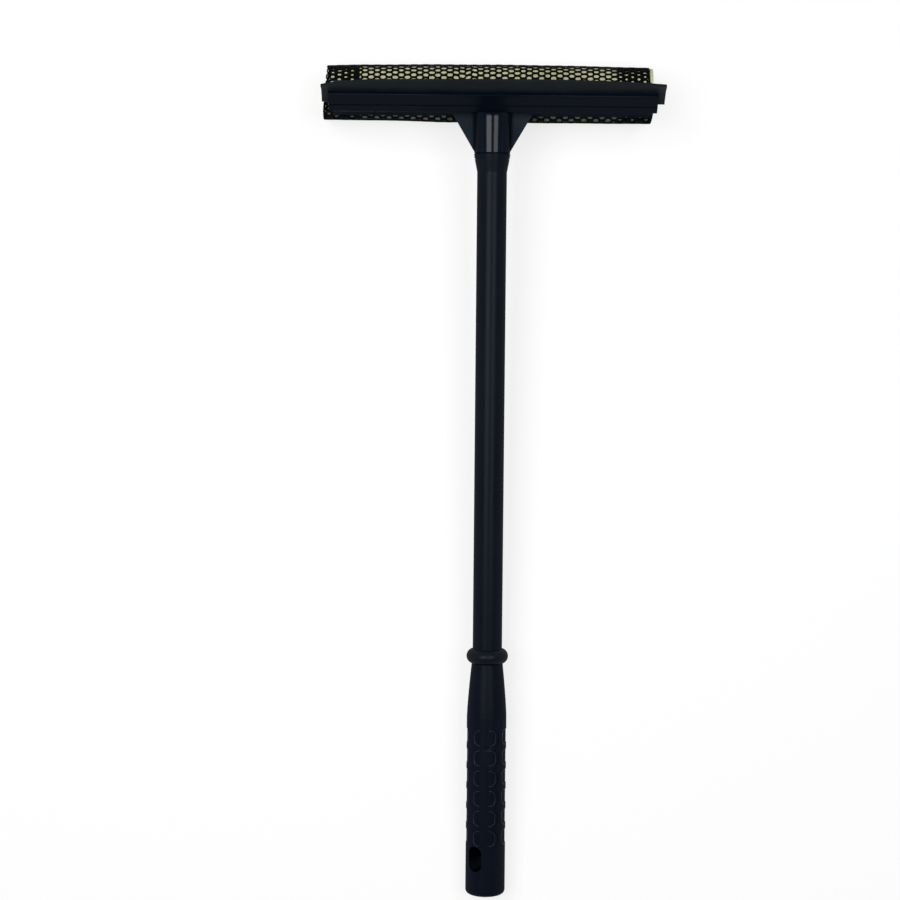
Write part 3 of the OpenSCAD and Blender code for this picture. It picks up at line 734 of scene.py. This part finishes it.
def band(name, x, half_width, depth, thick, seed):
    """A ribbon or cord round the wrapping at one x, rounded in section."""
    sides, steps = BAND_SIDES, BAND_STEPS
    verts, faces = [], []
    for i in range(steps + 1):
        s = wrap_len * i / steps
        beat = RIPPLE_SHARE * (0.5 + 0.5 * math.sin(2 * math.pi * s / RIPPLE))
        wander = BAND_WANDER * noise.noise(Vector((s * BAND_WAVES, seed, 0)))
        for k in range(sides):
            a = 2 * math.pi * k / sides
            w = half_width * (BAND_LEAST_W + beat)
            down = thick / 2 - thick / 2 * math.sin(a) * (BAND_LEAST_T + beat)
            verts.append(puffed(x + wander + w * math.cos(a), s, depth + down))
    for i in range(steps):
        for k in range(sides):
            m = (k + 1) % sides
            faces.append((i * sides + k, i * sides + m, (i + 1) * sides + m, (i + 1) * sides + k))
    faces.append(tuple(range(sides)))
    faces.append(tuple(reversed(range(steps * sides, (steps + 1) * sides))))
    return piece(name, verts, faces)


def threads(name, paths, radius, material=yarn_black, slot="netting"):
    """A round bead along each path, a list of points with their outward directions."""
    sides = THREAD_SIDES
    verts, faces = [], []
    for path in paths:
        first = len(verts)
        for i, (at, out) in enumerate(path):
            run = (path[min(i + 1, len(path) - 1)][0] - path[max(i - 1, 0)][0]).normalized()
            side = run.cross(out).normalized()
            for k in range(sides):
                a = 2 * math.pi * k / sides
                verts.append(at + radius * (math.cos(a) * side + math.sin(a) * side.cross(run)))
        for i in range(len(path) - 1):
            a, b = first + i * sides, first + (i + 1) * sides
            for k in range(sides):
                m = (k + 1) % sides
                faces.append((a + k, a + m, b + m, b + k))
        faces.append(tuple(first + k for k in range(sides)))
        faces.append(tuple(first + (len(path) - 1) * sides + k for k in reversed(range(sides))))
    return piece(name, verts, faces, material, slot)


def fringe():
    """Loops of cut yarn that stand off the netting's left rim, behind the blade."""
    paths = []
    for k in range(int(sum(s[0] for s in BEHIND_BLADE) / LOOP)):
        middle = (k + LOOP_START) * LOOP
        reach = LOOP_REACH + LOOP_REACH_VARY * noise.noise(Vector((k * 3.7, 2, 6)))
        half = LOOP_HALF + LOOP_HALF_VARY * noise.noise(Vector((k * 2.9, 5, 1)))
        path = []
        for i in range(LOOP_STEPS + 1):
            a = math.pi * i / LOOP_STEPS
            s = min(wrap_len, max(0.0, middle - half * math.cos(a)))
            _, _, ny, nz = outline(s)
            at = puffed(net_lo.x + LOOP_DEPTH - reach * math.sin(a) ** LOOP_POWER, s, LOOP_DEPTH)
            path.append((at, Vector((0, ny, nz))))
        paths.append(path)
    return threads("netting_fringe", paths, FRINGE_R)


knit_x = net_lo.x + RIM
right_hem_x = knit_x + (COLUMNS - RIGHT_HEM_COLUMNS) * PITCH_X
net = piece("netting", *lattice(knit_x, COLUMNS, HOLE, 0.0, VARY))
trim = [
    piece("netting_hem_left", *lattice(knit_x, LEFT_HEM_COLUMNS, HEM_HOLE, HEM_DEPTH, HEM_VARY)),
    piece("netting_hem_right",
          *lattice(right_hem_x, RIGHT_HEM_COLUMNS, HEM_HOLE, HEM_DEPTH, HEM_VARY, odd=1)),
    fringe(),
    band("netting_rim_left", net_lo.x + 0.7 * MM, half_width=0.68 * MM, depth=0.0, thick=1.1 * MM, seed=1),
    band("netting_rim_right", net_hi.x - 0.7 * MM, half_width=0.68 * MM, depth=0.0, thick=1.1 * MM, seed=2),
    band("netting_seam_left", -85.0 * MM, half_width=1.3 * MM, depth=-0.02 * MM, thick=0.95 * MM, seed=3),
]


# Grip

# The pads stand in columns round the grip, the first of them turned a few degrees off its top.
PAD_TURN, PAD_COLUMNS, PAD_ROWS = 6, 4, 6
PAD_FROM_END, PAD_PITCH = 38.0 * MM, 12.9 * MM
PAD_W, PAD_L, PAD_ROUND = 13.5 * MM, 9.6 * MM, 3.1 * MM
PAD_RIM, PAD_RIM_SINK = 0.19 * MM, 0.02 * MM
SLOT_FROM_END, SLOT_TURN = 24.4 * MM, math.radians(34)
CORNER_STEPS = 5


def pad_ring():
    """The outline of a grip pad laid flat, closed by its first two points."""
    ring = []
    for cx, cy, start in ((1, 1, 0), (-1, 1, 90), (-1, -1, 180), (1, -1, 270)):
        for i in range(CORNER_STEPS + 1):
            a = math.radians(start + 90 * i / CORNER_STEPS)
            ring.append((cx * (PAD_W / 2 - PAD_ROUND) + PAD_ROUND * math.cos(a),
                         cy * (PAD_L / 2 - PAD_ROUND) + PAD_ROUND * math.sin(a)))
    return ring + ring[:2]


def pad_rims():
    """The moulded rim round each grip pad, coloured lighter than the grip as a painted highlight."""
    lo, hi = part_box("grip")
    radius = (hi.x - lo.x) / 2
    centre, slot_way = Vector(hang_slot["pos_m"]), Vector(hang_slot["axis"]).normalized()
    right = Vector((1, 0, 0))
    up = (slot_way + right * math.sin(SLOT_TURN)).normalized()
    axis = up.cross(right)
    ring = pad_ring()
    paths = []
    for column in range(PAD_COLUMNS):
        turn = math.radians(PAD_TURN + column * 360 / PAD_COLUMNS)
        out = up * math.cos(turn) - right * math.sin(turn)
        across = axis.cross(out)
        for row in range(PAD_ROWS):
            middle = centre + axis * (PAD_FROM_END + row * PAD_PITCH - SLOT_FROM_END)
            path = []
            for aside, ahead in ring:
                normal = (across * aside + out * math.sqrt(radius ** 2 - aside ** 2)).normalized()
                path.append((middle + axis * ahead + normal * (radius - PAD_RIM_SINK), normal))
            paths.append(path)
    o = threads("grip_pad_rims", paths, PAD_RIM, pad_rim_highlight, "grip_plastic")
    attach(o, "scrubber")


pad_rims()


# Foam
foam_lo, foam_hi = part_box("sponge")
strip_lo, strip_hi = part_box("sponge_backing")
foam_middle = Vector((0, (foam_lo.y + foam_hi.y) / 2, (foam_lo.z + foam_hi.z) / 2))
# The foam lies just inside the netting. It swells into the open holes, is hollowed under those in front
# and sinks under the hems. Its left front corner is sunk and its right one tucked in. The plate and the
# floor flatten it, and it makes room for the backing strip.
FOAM_STEP, FOAM_DEPTH = 0.72 * MM, 0.95 * MM
FINE_PORES, FINE_PITCH = 0.10 * MM, 900
LARGE_PORES, LARGE_PITCH = 0.12 * MM, 330
BULGE, FRONT_BULGE, BULGE_HALF = 0.35 * MM, -1.6 * MM, (1.9 * MM, 1.25 * MM)
LEFT_HEM, RIGHT_HEM = -86.3 * MM, 76.4 * MM
HEM_SINK, HEM_RISE = 0.5 * MM, 0.6 * MM
CORNER_SINK, CORNER_X, CORNER_Y = 1.8 * MM, 5 * MM, 17 * MM
TUCK_FRONT, TUCK_MORE, TUCK_Y = 0.7 * MM, 0.4 * MM, (6 * MM, 20 * MM)
STRIP_ROOM, STRIP_SINK, STRIP_SKIN = 0.6 * MM, 0.15 * MM, 0.2 * MM
PLATE_Z, LIFT_Z = 34.9 * MM, 0.35 * MM
END_ROUND, END_ANGLES = 1.2 * MM, (0, 25, 50, 72)
END_RINGS = (0.93, 0.84, 0.73, 0.6, 0.45, 0.3, 0.15)
END_CROWN, END_GRAIN, END_WAVES, END_HUB = 0.35 * MM, 0.16 * MM, 700, 0.4 * MM


def bulge(x, s, ny):
    """How far the foam stands out at a place, which depends on the hole of the netting over it."""
    if x > net_hi.x:
        return BULGE * min(1.0, (x - net_hi.x) / MM)
    if x <= net_lo.x or x == net_hi.x:
        return 0.0
    i = round((x - knit_x - CELL_TIP) / PITCH_X)
    j = round(s / PITCH_S - 0.5 - 0.5 * (i % 2))
    cx = knit_x + CELL_TIP + i * PITCH_X
    cs = (j + 0.5 + 0.5 * (i % 2)) * PITCH_S
    dx, ds = drifted(cx, cs)
    r2 = ((x - cx - dx) / BULGE_HALF[0]) ** 2 + ((s - cs - ds) / BULGE_HALF[1]) ** 2
    if LEFT_HEM < x < RIGHT_HEM:
        return (BULGE + FRONT_BULGE * max(0.0, -ny)) * max(0.0, 1 - r2)
    return HEM_RISE * max(0.0, 1 - 2 * r2) - HEM_SINK


def near_strip(x, p):
    """Whether a point of the foam would come through the backing strip."""
    return (p.z > strip_hi.z - STRIP_SKIN and strip_lo.y - STRIP_ROOM < p.y < strip_hi.y + STRIP_ROOM
            and strip_lo.x - STRIP_ROOM < x < strip_hi.x + STRIP_ROOM)


def skin(x, s, inset):
    """A point of the foam's surface, set in by inset."""
    pores = FINE_PORES * noise.noise(Vector((x * FINE_PITCH, s * FINE_PITCH, 5)))
    pores += LARGE_PORES * noise.noise(Vector((x * LARGE_PITCH, s * LARGE_PITCH, 8)))
    y, _, ny, _ = outline(s)
    bare = (foam_hi.x - net_hi.x - TUCK_MORE) * smooth(y - front, *TUCK_Y)
    x = min(x, net_hi.x - TUCK_FRONT + bare)
    rise = bulge(x, s, ny)
    if net_lo.x < x < net_lo.x + CORNER_X and y < front + CORNER_Y:
        rise -= CORNER_SINK
    p = puffed(x, s, FOAM_DEPTH + inset - rise - pores)
    if near_strip(x, p):
        p.z = strip_lo.z - STRIP_SINK
    p.z = max(min(p.z, PLATE_Z), LIFT_Z)
    return p


def close_end(verts, faces, ring, way):
    """Closes an end of the foam with shrinking rings that crown outwards."""
    edge = [verts[v].copy() for v in ring]
    count = len(ring)
    last = ring
    for share in END_RINGS:
        new = list(range(len(verts), len(verts) + count))
        for p in edge:
            q = foam_middle + (p - foam_middle) * share
            grain = END_GRAIN * noise.noise(Vector((q.y * END_WAVES, q.z * END_WAVES, way)))
            q.x = p.x + way * (END_CROWN * (1 - share) ** 0.5 + grain)
            verts.append(q)
        for j in range(count):
            m = (j + 1) % count
            faces.append((last[j], last[m], new[m], new[j]))
        last = new
    verts.append(Vector((edge[0].x + way * END_HUB, foam_middle.y, foam_middle.z)))
    for j in range(count):
        faces.append((last[j], last[(j + 1) % count], len(verts) - 1))


def foam_block():
    """The sponge: rings of skin from end to end, closed by two crowned ends."""
    across = round(wrap_len / FOAM_STEP)
    columns = round((foam_hi.x - foam_lo.x) / FOAM_STEP)
    length = foam_hi.x - foam_lo.x - 2 * END_ROUND
    ends = [(foam_lo.x + END_ROUND * (1 - math.cos(a)), END_ROUND * (1 - math.sin(a)))
            for a in (math.radians(d) for d in END_ANGLES)]
    stations = ends + [(foam_lo.x + END_ROUND + length * i / columns, 0.0) for i in range(columns + 1)]
    stations += [(foam_lo.x + foam_hi.x - x, inset) for x, inset in reversed(ends)]
    verts, faces, rings = [], [], []
    for x, inset in stations:
        rings.append(list(range(len(verts), len(verts) + across)))
        verts += [skin(x, wrap_len * (j + 0.5) / across, inset) for j in range(across)]
    for a, b in zip(rings, rings[1:]):
        for j in range(across):
            m = (j + 1) % across
            faces.append((a[j], a[m], b[m], b[j]))
    close_end(verts, faces, rings[0], -1)
    close_end(verts, faces, rings[-1], 1)
    return piece("foam_block", verts, faces, foam_yellow, "foam")


block = foam_block()
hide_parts("sponge")
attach(block, "scrubber")

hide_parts("mesh_cover")
for o in (net, *trim):
    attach(o, "scrubber")
